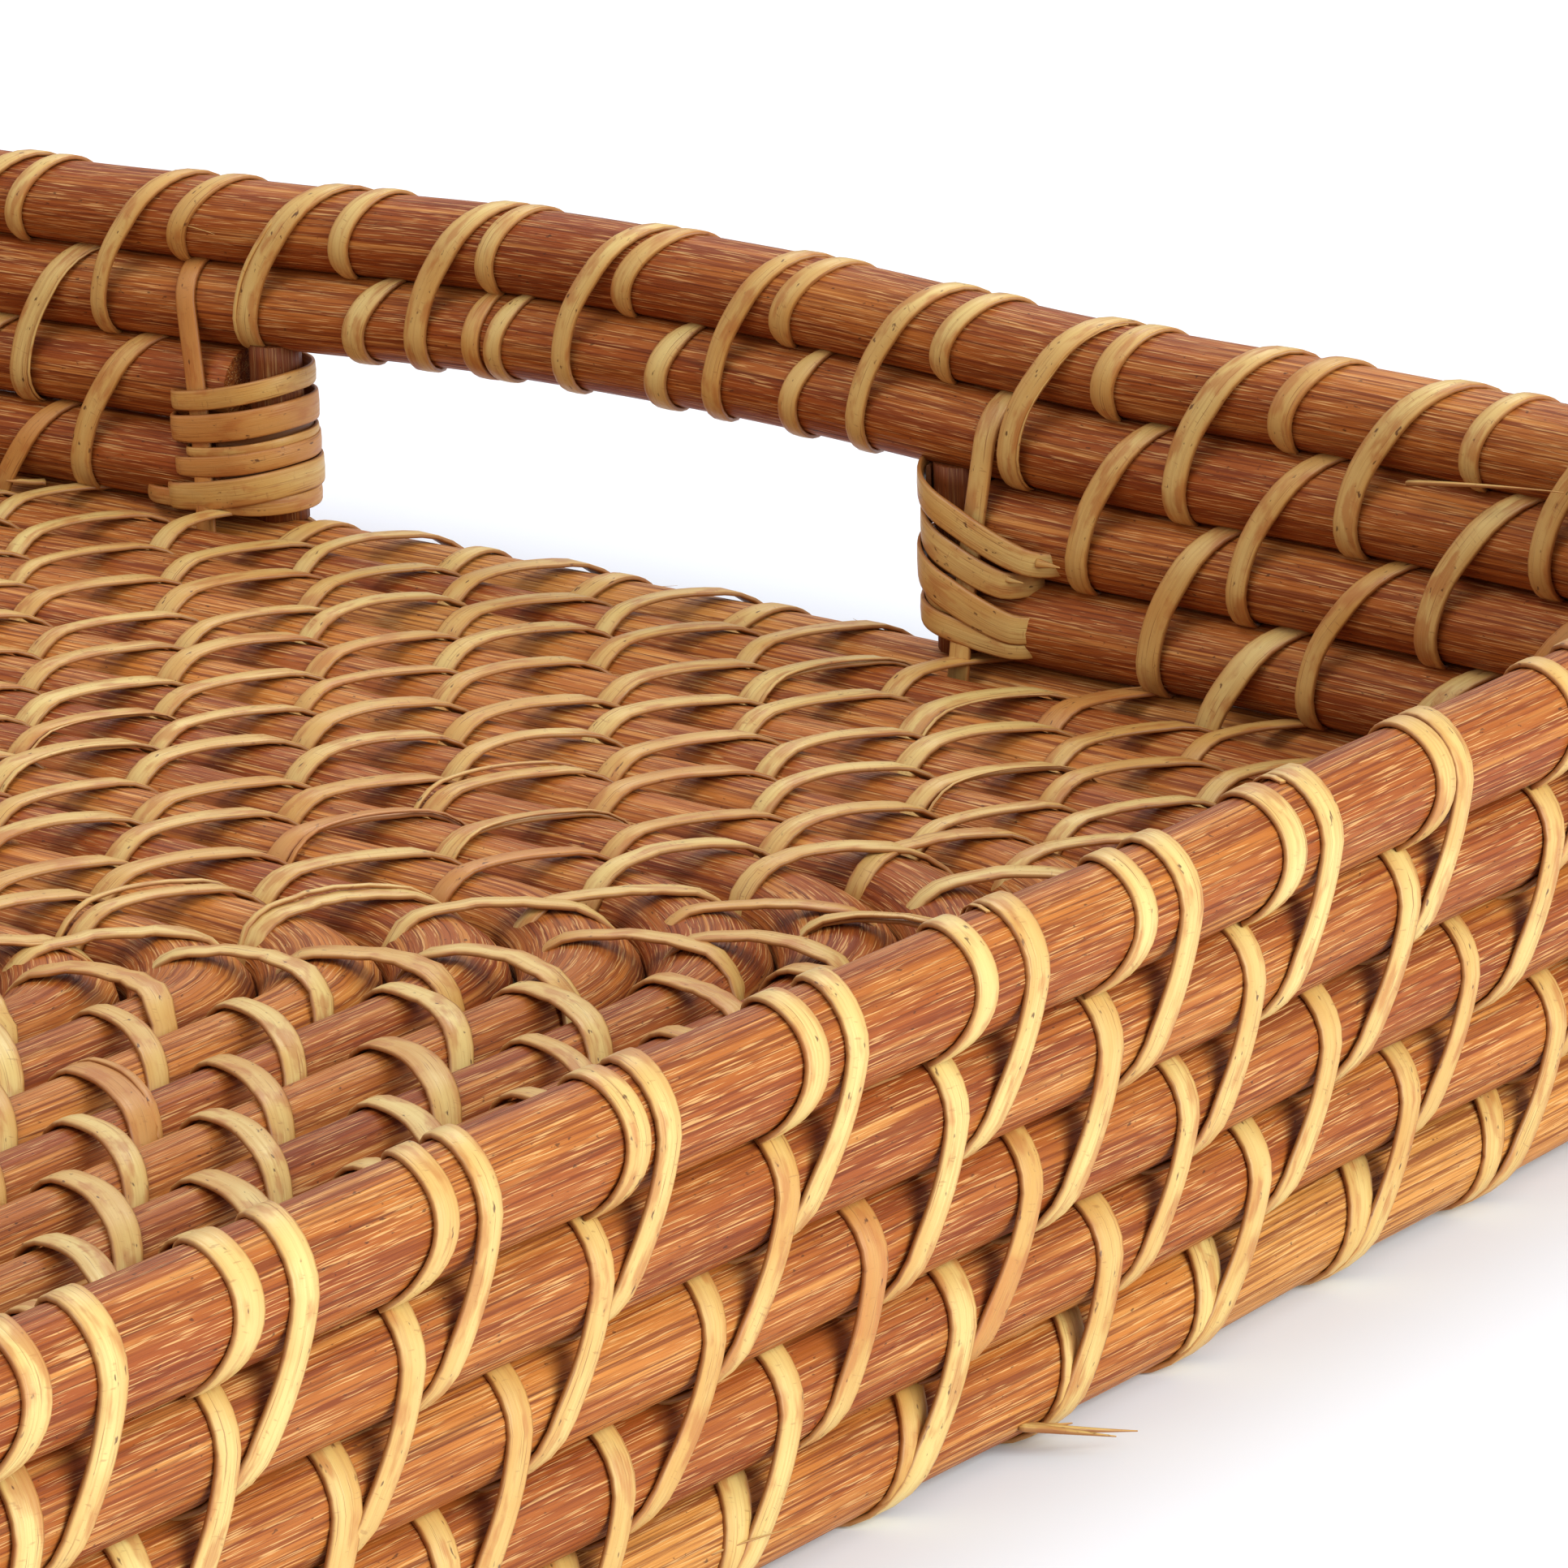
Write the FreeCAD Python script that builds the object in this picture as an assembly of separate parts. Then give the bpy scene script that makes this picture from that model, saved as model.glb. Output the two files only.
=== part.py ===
import FreeCAD, Part
import math
import os

# Coiled rattan tray basket: a flat spiral base, five stacked wall courses that
# lean slightly outward, and a hand-hold through each end wall. Every course is
# a round rattan rod, and flat cane splints lash each rod to the one beside it.
# Millimetres. Origin on the floor under the middle of the basket, +Z up, +X
# along the length. The hand-holds are in the +X and -X walls.

rod_diameter = 8.0
splint_width = 2.4
splint_thickness = 0.44
seat_clearance = 0.04        # between a rod and the splint that wraps it
base_pitch = 9.0             # between neighbouring turns of the base spiral
wall_pitch = 8.6             # between stacked wall courses
wall_lean = 0.75             # outward step of each wall course over the one below
turn_count = 17              # turns of the spiral between the core and the foot hoop
core_half_length = 50.0      # half the straight core that the spiral starts from
end_side_radius = 1300.0     # plan bow of the foot hoop's short sides
long_side_radius = 4500.0    # plan bow of the foot hoop's long sides
first_corner_radius = 4.12
corner_growth = 2.46         # added to the corner radius by each turn outward
scarf_gap = 0.2              # left at each butt of two rods
tail_sweep = math.radians(65)    # of the last turn's tapered end, round its corner
tail_clearance = 0.3         # between that end and the rods it is cut to lie between

stitch_spacing = 18.5        # along the rod, between lashings of one pair of rods
stagger = 0.42               # shift of a row of lashings against the row inside it
splint_room = 3.0            # least distance along a rod between two splints on it

hand_hold_half_width = 42.5
post_diameter = 5.6
course_setback = 7.4         # from the hand-hold's end to the cut ends of courses 2 and 3
binding_length = 19.0        # of the bands along each cut end
binding_bands = 6
strap_setback = 12.0         # from the hand-hold's end to the upright strap

rod_radius = rod_diameter / 2
splint_inner = rod_radius + seat_clearance
splint_outer = splint_inner + splint_thickness
foot_height = splint_outer   # axis of the lowest rods, whose lashings touch the floor
foot_number = turn_count + 1
foot_half_width = foot_number * base_pitch
foot_half_length = core_half_length + foot_half_width

END_PLUS, LONG_PLUS, END_MINUS, LONG_MINUS = 0.0, 0.5 * math.pi, math.pi, 1.5 * math.pi


class Arc:
    """One arc of a rod's centre line in plan, run counter-clockwise."""

    def __init__(self, centre, radius, start, end):
        self.centre = centre
        self.radius = radius
        self.start = start
        self.end = end
        self.length = radius * (end - start)

    def point(self, angle):
        x = self.centre[0] + self.radius * math.cos(angle)
        y = self.centre[1] + self.radius * math.sin(angle)
        return x, y

    def half_turned(self):
        cx, cy = self.centre
        return Arc((-cx, -cy), self.radius, self.start + math.pi, self.end + math.pi)


def side(heading, offset):
    """Centre and radius of the side facing heading, offset out from the core."""
    inset = foot_half_width - offset
    if heading in (END_PLUS, END_MINUS):
        reach = foot_half_length - end_side_radius
        return (reach * math.cos(heading), 0.0), end_side_radius - inset
    reach = foot_half_width - long_side_radius
    return (0.0, reach * math.sin(heading)), long_side_radius - inset


def fillet(side_a, side_b, radius):
    """Arc of the given radius that joins side a to side b, counter-clockwise."""
    (ax, ay), ra = side_a
    (bx, by), rb = side_b
    ra, rb = ra - radius, rb - radius
    span = math.hypot(bx - ax, by - ay)
    along = (ra * ra - rb * rb + span * span) / (2 * span)
    across = math.sqrt(ra * ra - along * along)
    ux, uy = (bx - ax) / span, (by - ay) / span
    options = []
    for turn in (1, -1):
        x = ax + along * ux - turn * across * uy
        y = ay + along * uy + turn * across * ux
        start = math.atan2(y - ay, x - ax)
        sweep = (math.atan2(y - by, x - bx) - start) % (2 * math.pi)
        options.append((sweep, x, y, start))
    sweep, x, y, start = min(options)
    return Arc((x, y), radius, start, start + sweep)


def run_sides(sides, radii):
    """Arcs of a path along the sides in turn, with a fillet between each two."""
    corners = []
    for number, radius in enumerate(radii):
        corners.append(fillet(sides[number], sides[number + 1], radius))
    arcs = [corners[0]]
    for number in range(1, len(corners)):
        centre, radius = sides[number]
        start = corners[number - 1].end
        sweep = (corners[number].start - start) % (2 * math.pi)
        arcs.append(Arc(centre, radius, start, start + sweep))
        arcs.append(corners[number])
    return arcs


def corner_radius(number):
    return first_corner_radius + corner_growth * (number - 1)


def core_arcs():
    corner = fillet(side(LONG_PLUS, 0.0), side(END_MINUS, base_pitch), corner_radius(1))
    centre, radius = side(LONG_PLUS, 0.0)
    near_end = core_half_length + base_pitch - rod_radius - scarf_gap
    start = math.acos(near_end / radius)
    return [Arc(centre, radius, start, corner.start)]


def turn_arcs(number):
    """One turn of the spiral: it steps out at the corner of -X and +Y."""
    out = number * base_pitch
    sides = [side(LONG_PLUS, out - base_pitch), side(END_MINUS, out),
             side(LONG_MINUS, out), side(END_PLUS, out), side(LONG_PLUS, out),
             side(END_MINUS, out + base_pitch)]
    radius = corner_radius(number)
    return run_sides(sides, [radius] * 4 + [corner_radius(number + 1)])[:-1]


def tail_arcs():
    """The start of the corner that the last turn's tapered end lies along."""
    out = turn_count * base_pitch
    corner = fillet(side(LONG_PLUS, out), side(END_MINUS, out + base_pitch),
                    corner_radius(foot_number))
    return [Arc(corner.centre, corner.radius, corner.start, corner.start + tail_sweep)]


def hoop_arcs(step):
    """A closed hoop: the foot hoop at step 0, and a wall course at each step up."""
    out = foot_half_width + step * wall_lean
    headings = [END_MINUS, LONG_MINUS, END_PLUS, LONG_PLUS, END_MINUS]
    sides = [side(heading, out) for heading in headings]
    radius = corner_radius(foot_number) + step * wall_lean
    arcs = run_sides(sides, [radius] * 4)
    centre, end_radius = sides[0]
    start = arcs[-1].end
    sweep = (arcs[0].start - start) % (2 * math.pi)
    return arcs + [Arc(centre, end_radius, start, start + sweep)]


def half_hoop_arcs(step, back):
    """A wall course between the two hand-holds: two paths that meet in mid-side."""
    cut = hand_hold_half_width + course_setback
    first_corner, long_side, second_corner, end_side = hoop_arcs(step)[:4]
    angle = math.asin(cut / end_side.radius)
    lead_centre = (-end_side.centre[0], 0.0)
    lead_in = Arc(lead_centre, end_side.radius, angle - math.pi, first_corner.start)
    run_out = Arc(end_side.centre, end_side.radius, end_side.start, -angle)
    middle = (long_side.start + long_side.end) / 2
    half_gap = scarf_gap / 2 / long_side.radius
    to_middle = Arc(long_side.centre, long_side.radius, long_side.start, middle - half_gap)
    from_middle = Arc(long_side.centre, long_side.radius, middle + half_gap, long_side.end)
    halves = [[lead_in, first_corner, to_middle], [from_middle, second_corner, run_out]]
    if back:
        halves = [[arc.half_turned() for arc in arcs] for arcs in halves]
    return halves


def at_station(arcs, station):
    """Point and heading at a distance along the path."""
    for arc in arcs:
        if station <= arc.length:
            break
        station -= arc.length
    angle = arc.start + station / arc.radius
    return arc.point(angle), angle


def nearest(arcs, point):
    """Distance, station and place of the path's nearest point off its ends, or None."""
    found = None
    passed = 0.0
    for arc in arcs:
        dx, dy = point[0] - arc.centre[0], point[1] - arc.centre[1]
        turned = (math.atan2(dy, dx) - arc.start) % (2 * math.pi)
        if turned <= arc.end - arc.start:
            distance = abs(math.hypot(dx, dy) - arc.radius)
            if found is None or distance < found[0]:
                place = arc.point(arc.start + turned)
                found = (distance, passed + turned * arc.radius, place)
        passed += arc.length
    return found


def length_of(arcs):
    return sum(arc.length for arc in arcs)


def even_stations(arcs):
    total = length_of(arcs)
    count = round(total / stitch_spacing)
    return [(number + 0.5) * total / count for number in range(count)]


def places(arcs, stations):
    return [at_station(arcs, station)[0] for station in stations]


def keep_clear(arcs, stations, taken):
    """The stations, nudged along the path where a splint already takes the place."""
    clear = list(stations)
    for place in taken:
        found = nearest(arcs, place)
        if not found or found[0] > 2.5 * base_pitch:
            continue
        for number, station in enumerate(clear):
            apart = station - found[1]
            if abs(apart) < splint_room:
                clear[number] = found[1] + math.copysign(splint_room, apart)
    return clear


def next_stations(inner_arcs, inner_stations, arcs):
    """Stations shifted against the row inside, with none too close or too far apart."""
    stations = []
    for before, after in zip(inner_stations, inner_stations[1:] + inner_stations[:1]):
        gap = after - before
        if gap < 0:
            gap += length_of(inner_arcs)
        if gap > 2 * stitch_spacing:
            continue
        station = (before + stagger * gap) % length_of(inner_arcs)
        place = at_station(inner_arcs, station)[0]
        found = nearest(arcs, place)
        if found:
            stations.append(found[1])
    stations.sort()
    total = length_of(arcs)
    spaced = []
    ends = [stations[0] - stitch_spacing * math.floor(stations[0] / stitch_spacing)]
    for station in ends + stations + [total]:
        last = spaced[-1] if spaced else station - stitch_spacing
        gap = station - last
        if gap < 0.55 * stitch_spacing and spaced:
            continue
        extra = round(gap / stitch_spacing) - 1
        for number in range(extra):
            spaced.append(last + (number + 1) * gap / (extra + 1))
        spaced.append(station)
    last_place = total - 0.3 * stitch_spacing
    spaced = [station for station in spaced if splint_width < station < last_place]
    return keep_clear(arcs, spaced, places(inner_arcs, inner_stations))


def wire_of(arcs, height):
    edges = []
    for arc in arcs:
        angles = (arc.start, (arc.start + arc.end) / 2, arc.end)
        points = [FreeCAD.Vector(*arc.point(angle), height) for angle in angles]
        edges.append(Part.Arc(*points).toShape())
    return Part.Wire(edges)


def rod(arcs, height, radius=rod_radius):
    """A round rod along the path."""
    wire = wire_of(arcs, height)
    (x, y), heading = at_station(arcs, 0.0)
    tangent = FreeCAD.Vector(-math.sin(heading), math.cos(heading), 0)
    circle = Part.makeCircle(radius, FreeCAD.Vector(x, y, height), tangent)
    return wire.makePipeShell([Part.Wire(circle)], True, False)


def last_turn():
    """The outermost turn, whose end is pared down to lie against the foot hoop."""
    wide = rod_radius + tail_clearance
    tail = rod(tail_arcs(), foot_height)
    tail = tail.cut(rod(hoop_arcs(0)[4:7], foot_height, wide))
    tail = tail.cut(rod(turn_arcs(turn_count)[:2], foot_height, wide))
    return rod(turn_arcs(turn_count), foot_height).fuse(tail)


def band(centre_a, centre_b, along):
    """A splint loop around two parallel rods, or around one where the centres meet."""
    across = centre_b - centre_a
    start = -along * (splint_width / 2)
    if across.Length < 1e-6:
        rings = []
        for radius in (splint_outer, splint_inner):
            circle = Part.makeCircle(radius, centre_a + start, along)
            rings.append(Part.Wire(circle))
    else:
        outward = FreeCAD.Vector(across).normalize()
        sideways = along.cross(outward)
        rings = []
        for radius in (splint_outer, splint_inner):
            left_a = centre_a + start + sideways * radius
            right_a = centre_a + start - sideways * radius
            left_b = centre_b + start + sideways * radius
            right_b = centre_b + start - sideways * radius
            tip_a = centre_a + start - outward * radius
            tip_b = centre_b + start + outward * radius
            edges = [Part.Arc(left_a, tip_a, right_a).toShape(),
                     Part.LineSegment(right_a, right_b).toShape(),
                     Part.Arc(right_b, tip_b, left_b).toShape(),
                     Part.LineSegment(left_b, left_a).toShape()]
            rings.append(Part.Wire(edges))
    face = Part.Face(rings)
    return face.extrude(along * splint_width)


def lashing(arcs, stations, height, inner_arcs, inner_height):
    """Bands that tie a rod to the one inside or under it, at the stations given."""
    bands = []
    for station in stations:
        place, heading = at_station(arcs, station)
        found = nearest(inner_arcs, place)
        if not found or found[0] > 1.5 * base_pitch:
            continue
        along = FreeCAD.Vector(-math.sin(heading), math.cos(heading), 0)
        centre_a = FreeCAD.Vector(*place, height)
        centre_b = FreeCAD.Vector(*found[2], inner_height)
        bands.append(band(centre_a, centre_b, along))
    return Part.Compound(bands)


def single_wraps(arcs, stations, height):
    bands = []
    for station in stations:
        place, heading = at_station(arcs, station)
        along = FreeCAD.Vector(-math.sin(heading), math.cos(heading), 0)
        centre = FreeCAD.Vector(*place, height)
        bands.append(band(centre, centre, along))
    return Part.Compound(bands)


def course_height(step):
    return foot_height + step * wall_pitch


def in_hand_hold(arcs, station, margin):
    x, y = at_station(arcs, station)[0]
    return abs(y) < hand_hold_half_width + margin and abs(x) > core_half_length


def end_wall_reach(step, y):
    """How far out the end wall's course lies at a distance y from the middle."""
    centre, radius = side(END_PLUS, foot_half_width + step * wall_lean)
    return centre[0] + math.sqrt(radius * radius - y * y)


def strap_places():
    """Where the four upright straps pass round the rods of the end walls."""
    y = hand_hold_half_width + strap_setback
    x = end_wall_reach(1, y)
    return [(x, y), (x, -y), (-x, y), (-x, -y)]


def handle_post(end, flank):
    """The short upright rattan that closes one end of a hand-hold."""
    y = hand_hold_half_width + post_diameter / 2 + splint_thickness
    low = course_height(0) + rod_radius + 2 * splint_thickness
    high = course_height(3) - rod_radius - 2 * splint_thickness
    x = end_wall_reach(1.5, y)
    base = FreeCAD.Vector(end * x, flank * y, low)
    return Part.makeCylinder(post_diameter / 2, high - low, base, FreeCAD.Vector(0, 0, 1))


def end_binding(end, flank):
    """The bands that close the cut end of courses 2 and 3, over one upright strap."""
    strap_y = hand_hold_half_width + strap_setback
    slope = FreeCAD.Vector(0, flank, 0)
    foot = FreeCAD.Vector(end * end_wall_reach(0, strap_y), flank * strap_y, course_height(0))
    rail = FreeCAD.Vector(end * end_wall_reach(3, strap_y), flank * strap_y, course_height(3))
    solids = [band(foot, rail, slope)]
    low = course_height(0) + rod_radius + 2 * splint_thickness
    high = course_height(3) - rod_radius - 2 * splint_thickness - splint_width
    inner = splint_outer + seat_clearance + wall_lean
    near = hand_hold_half_width + inner + splint_thickness
    far = hand_hold_half_width + binding_length
    for number in range(binding_bands):
        z = low + (high - low) * number / (binding_bands - 1)
        x = end_wall_reach(1.5, near)
        edges = []
        corners = []
        for radius in (inner + splint_thickness, inner):
            first = FreeCAD.Vector(end * x - radius, flank * far, z)
            bend_in = FreeCAD.Vector(end * x - radius, flank * near, z)
            crown = FreeCAD.Vector(end * x, flank * (near - radius), z)
            bend_out = FreeCAD.Vector(end * x + radius, flank * near, z)
            last = FreeCAD.Vector(end * x + radius, flank * far, z)
            edges.append(Part.LineSegment(first, bend_in).toShape())
            edges.append(Part.Arc(bend_in, crown, bend_out).toShape())
            edges.append(Part.LineSegment(bend_out, last).toShape())
            corners.append((first, last))
        for end_of_outer, end_of_inner in zip(corners[0], corners[1]):
            edges.append(Part.LineSegment(end_of_outer, end_of_inner).toShape())
        outline = Part.Wire(Part.__sortEdges__(edges))
        solids.append(Part.Face(outline).extrude(FreeCAD.Vector(0, 0, splint_width)))
    return Part.Compound(solids)


def save(shape, name):
    shape.exportStep("parts/" + name + ".step")


def make_base():
    """Core, spiral turns and foot hoop with their lashings. Returns the outer stations."""
    inner = core_arcs()
    save(rod(inner, foot_height), "base_core")
    stations = []
    for number in range(1, foot_number + 1):
        arcs = turn_arcs(number) if number < foot_number else hoop_arcs(0)
        if number == foot_number:
            save(rod(arcs, foot_height), "foot_hoop")
        elif number == turn_count:
            save(last_turn(), "base_turn_%02d" % number)
        else:
            save(rod(trimmed(arcs), foot_height), "base_turn_%02d" % number)
        if number == 1:
            stations = even_stations(arcs)
        else:
            stations = next_stations(inner, stations, arcs)
        if number == foot_number:
            stations = keep_clear(arcs, stations, strap_places())
        ties = lashing(arcs, stations, foot_height, inner, foot_height)
        save(ties, "base_lashing_%02d" % number)
        inner = arcs
    return stations


def trimmed(arcs):
    """The path without the small gap that parts one turn's end from the next."""
    last = arcs[-1]
    shorter = Arc(last.centre, last.radius, last.start, last.end - scarf_gap / last.radius)
    return arcs[:-1] + [shorter]


def make_walls(stations):
    """The four courses over the foot hoop, with their lashings and single wraps."""
    margin = binding_length + splint_width
    inner = hoop_arcs(0)
    rows_below = places(inner, stations)
    foot_wraps = []
    rail_wraps = []
    for step in range(1, 5):
        arcs = hoop_arcs(step)
        if step < 3:
            for half in ("front", "back"):
                paths = half_hoop_arcs(step, half == "back")
                rods = [rod(path, course_height(step)) for path in paths]
                save(Part.Compound(rods), "wall_course_%d_%s" % (step + 1, half))
        else:
            save(rod(arcs, course_height(step)), {3: "handle_rail", 4: "rim_rod"}[step])
        stations = next_stations(inner, stations, arcs)
        stations = keep_clear(arcs, stations, rows_below + strap_places())
        rows_below = places(inner, stations)
        open_side = [s for s in stations if step < 4 and in_hand_hold(arcs, s, margin)]
        tied = [s for s in stations if s not in open_side]
        clear = [s for s in open_side if in_hand_hold(arcs, s, -splint_width)]
        if step == 1:
            foot_wraps = clear
        if step == 3:
            rail_wraps = clear
        ties = lashing(arcs, tied, course_height(step), inner, course_height(step - 1))
        save(ties, "wall_lashing_%d" % step)
        inner = arcs
    save(single_wraps(hoop_arcs(0), foot_wraps, course_height(0)), "foot_hoop_wraps")
    save(single_wraps(hoop_arcs(3), rail_wraps, course_height(3)), "handle_rail_wraps")
    rim_stations = next_stations(inner, stations, inner)
    rim_stations = keep_clear(inner, rim_stations, places(inner, stations))
    save(single_wraps(inner, rim_stations, course_height(4)), "rim_wraps")


def make_handles():
    for end, end_name in ((1, "right"), (-1, "left")):
        for flank, flank_name in ((-1, "front"), (1, "back")):
            place = "%s_%s" % (end_name, flank_name)
            save(handle_post(end, flank), "handle_post_" + place)
            save(end_binding(end, flank), "end_binding_" + place)


os.makedirs("parts", exist_ok=True)
foot_stations = make_base()
make_walls(foot_stations)
make_handles()
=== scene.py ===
import math

import bpy
import numpy as np
from mathutils import Matrix, Vector
from mathutils.kdtree import KDTree


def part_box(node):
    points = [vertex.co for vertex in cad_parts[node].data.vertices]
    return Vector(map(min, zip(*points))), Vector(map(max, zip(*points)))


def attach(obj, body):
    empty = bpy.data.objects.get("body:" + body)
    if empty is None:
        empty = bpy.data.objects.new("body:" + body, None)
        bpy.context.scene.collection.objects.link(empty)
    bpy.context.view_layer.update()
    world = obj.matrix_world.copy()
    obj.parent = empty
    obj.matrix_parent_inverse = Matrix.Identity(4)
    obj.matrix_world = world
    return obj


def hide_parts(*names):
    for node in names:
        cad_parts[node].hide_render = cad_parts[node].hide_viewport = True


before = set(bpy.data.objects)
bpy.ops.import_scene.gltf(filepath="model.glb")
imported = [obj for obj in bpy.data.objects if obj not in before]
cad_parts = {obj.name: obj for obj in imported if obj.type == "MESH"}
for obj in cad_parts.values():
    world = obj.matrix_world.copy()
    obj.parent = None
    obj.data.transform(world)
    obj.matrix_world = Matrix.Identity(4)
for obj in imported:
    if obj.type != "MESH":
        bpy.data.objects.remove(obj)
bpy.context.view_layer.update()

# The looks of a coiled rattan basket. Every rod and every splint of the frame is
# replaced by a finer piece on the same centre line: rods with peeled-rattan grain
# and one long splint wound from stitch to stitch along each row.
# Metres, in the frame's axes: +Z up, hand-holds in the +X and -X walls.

MM = 0.001
TAU = 2 * math.pi
SEED = 628
random = np.random.default_rng(SEED)

# Sizes that the frame's boxes give.
foot_low, foot_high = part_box("foot_hoop")
rim_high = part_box("rim_rod")[1]
CAD_ROD_RADIUS = (foot_high.z - foot_low.z) / 2
TURN_COUNT = sum(name.startswith("base_turn_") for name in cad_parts)
FOOT_NUMBER = TURN_COUNT + 1
FOOT_HALF_LENGTH = foot_high.x - CAD_ROD_RADIUS
FOOT_HALF_WIDTH = foot_high.y - CAD_ROD_RADIUS
BASE_PITCH = FOOT_HALF_WIDTH / FOOT_NUMBER
CORE_HALF_LENGTH = FOOT_HALF_LENGTH - FOOT_HALF_WIDTH
RIM_STEP = 4
WALL_PITCH = (rim_high.z - foot_high.z) / RIM_STEP
WALL_LEAN = (rim_high.x - foot_high.x) / RIM_STEP
HAND_HOLD_HALF_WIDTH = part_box("end_binding_right_back")[0].y
COURSE_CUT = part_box("wall_course_2_back")[0].y

# The plan curves of the frame's rods.
END_SIDE_RADIUS = 1.300
LONG_SIDE_RADIUS = 4.500
FIRST_CORNER_RADIUS = 0.00412
CORNER_GROWTH = 0.00246
TAIL_SWEEP = math.radians(65)
END_PLUS, LONG_PLUS, END_MINUS, LONG_MINUS = 0.0, 0.5 * math.pi, math.pi, 1.5 * math.pi

# The finer rods and splints.
ROD_RADIUS = 4.22 * MM
COURSE_RADIUS = 4.33 * MM
RIM_RADIUS = 4.45 * MM
ROD_STRAY = 0.35 * MM
ROD_RISE = 0.15 * MM
ROD_STEP = 2.5 * MM
ROD_SIDES = 20
LINE_STEP = 1.0 * MM
SPLINT_WIDTH = 2.6 * MM
SPLINT_THICKNESS = 0.46 * MM
SPLINT_GAP = 0.03 * MM
WRAP_RADIUS = ROD_RADIUS + SPLINT_GAP
FOOT_HEIGHT = WRAP_RADIUS + SPLINT_THICKNESS * 1.1 + 0.12 * MM
FLOOR_CLEARANCE = 0.02 * MM
STITCH_SAMPLES = 36
STITCH_SPACING = 18.5 * MM
WALL_SEED = 41
SEAM_REACH = 2 * BASE_PITCH
BEND_SPREAD = 0.34
RAIL_ARCH = 1.8 * MM
RAIL_ARCH_REACH = 80 * MM
ARCH_SHARES = (0, 0, 0.5, 1, 1)
FOOT_TONE = 0.9
POST_SIDES = 14
# Below 0: the posts are darker, partly their wood and partly painted shade under the rail.
POST_TONE = -0.5
TAIL_LEAST_ROOM = 0.15 * MM


# Plan of the rods

class Arc:
    """One arc of a rod's centre line in plan, run counter-clockwise."""

    def __init__(self, centre, radius, start, end):
        self.centre = centre
        self.radius = radius
        self.start = start
        self.end = end

    def points(self):
        count = max(3, round(self.radius * (self.end - self.start) / LINE_STEP) + 1)
        angles = np.linspace(self.start, self.end, count)
        x = self.centre[0] + self.radius * np.cos(angles)
        y = self.centre[1] + self.radius * np.sin(angles)
        return np.stack([x, y], axis=1)


def side(heading, offset):
    """Centre and radius of the side facing heading, offset out from the core."""
    inset = FOOT_HALF_WIDTH - offset
    if heading in (END_PLUS, END_MINUS):
        reach = FOOT_HALF_LENGTH - END_SIDE_RADIUS
        return (reach * math.cos(heading), 0.0), END_SIDE_RADIUS - inset
    reach = FOOT_HALF_WIDTH - LONG_SIDE_RADIUS
    return (0.0, reach * math.sin(heading)), LONG_SIDE_RADIUS - inset


def fillet(side_a, side_b, radius):
    """Arc of the given radius that joins side a to side b, counter-clockwise."""
    (ax, ay), ra = side_a
    (bx, by), rb = side_b
    ra, rb = ra - radius, rb - radius
    span = math.hypot(bx - ax, by - ay)
    along = (ra * ra - rb * rb + span * span) / (2 * span)
    across = math.sqrt(ra * ra - along * along)
    ux, uy = (bx - ax) / span, (by - ay) / span
    options = []
    for turn in (1, -1):
        x = ax + along * ux - turn * across * uy
        y = ay + along * uy + turn * across * ux
        start = math.atan2(y - ay, x - ax)
        sweep = (math.atan2(y - by, x - bx) - start) % TAU
        options.append((sweep, x, y, start))
    sweep, x, y, start = min(options)
    return Arc((x, y), radius, start, start + sweep)


def run_sides(sides, radii):
    """Arcs along the sides in turn, with a fillet between each two."""
    corners = [fillet(sides[n], sides[n + 1], radius) for n, radius in enumerate(radii)]
    arcs = [corners[0]]
    for number in range(1, len(corners)):
        centre, radius = sides[number]
        start = corners[number - 1].end
        sweep = (corners[number].start - start) % TAU
        arcs.append(Arc(centre, radius, start, start + sweep))
        arcs.append(corners[number])
    return arcs


def corner_radius(number):
    return FIRST_CORNER_RADIUS + CORNER_GROWTH * (number - 1)


def core_arcs():
    corner = fillet(side(LONG_PLUS, 0.0), side(END_MINUS, BASE_PITCH), corner_radius(1))
    centre, radius = side(LONG_PLUS, 0.0)
    near_end = CORE_HALF_LENGTH + BASE_PITCH - CAD_ROD_RADIUS
    return [Arc(centre, radius, math.acos(near_end / radius), corner.start)]


def turn_arcs(number):
    """One turn of the spiral: it steps out at the corner of -X and +Y."""
    out = number * BASE_PITCH
    sides = [side(LONG_PLUS, out - BASE_PITCH), side(END_MINUS, out),
             side(LONG_MINUS, out), side(END_PLUS, out), side(LONG_PLUS, out),
             side(END_MINUS, out + BASE_PITCH)]
    radius = corner_radius(number)
    return run_sides(sides, [radius] * 4 + [corner_radius(number + 1)])[:-1]


def tail_arc():
    """The start of the corner that the last turn's tapered end lies along."""
    out = TURN_COUNT * BASE_PITCH
    corner = fillet(side(LONG_PLUS, out), side(END_MINUS, out + BASE_PITCH),
                    corner_radius(FOOT_NUMBER))
    return Arc(corner.centre, corner.radius, corner.start, corner.start + TAIL_SWEEP)


def hoop_arcs(step):
    """A closed hoop: the foot hoop at step 0, and a wall course at each step up."""
    out = FOOT_HALF_WIDTH + step * WALL_LEAN
    headings = [END_MINUS, LONG_MINUS, END_PLUS, LONG_PLUS, END_MINUS]
    sides = [side(heading, out) for heading in headings]
    radius = corner_radius(FOOT_NUMBER) + step * WALL_LEAN
    arcs = run_sides(sides, [radius] * 4)
    centre, end_radius = sides[0]
    start = arcs[-1].end
    sweep = (arcs[0].start - start) % TAU
    return arcs + [Arc(centre, end_radius, start, start + sweep)]


def course_height(step):
    return FOOT_HEIGHT + step * WALL_PITCH


# Centre lines

def unit(vectors):
    return vectors / np.linalg.norm(vectors, axis=-1, keepdims=True)


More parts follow.
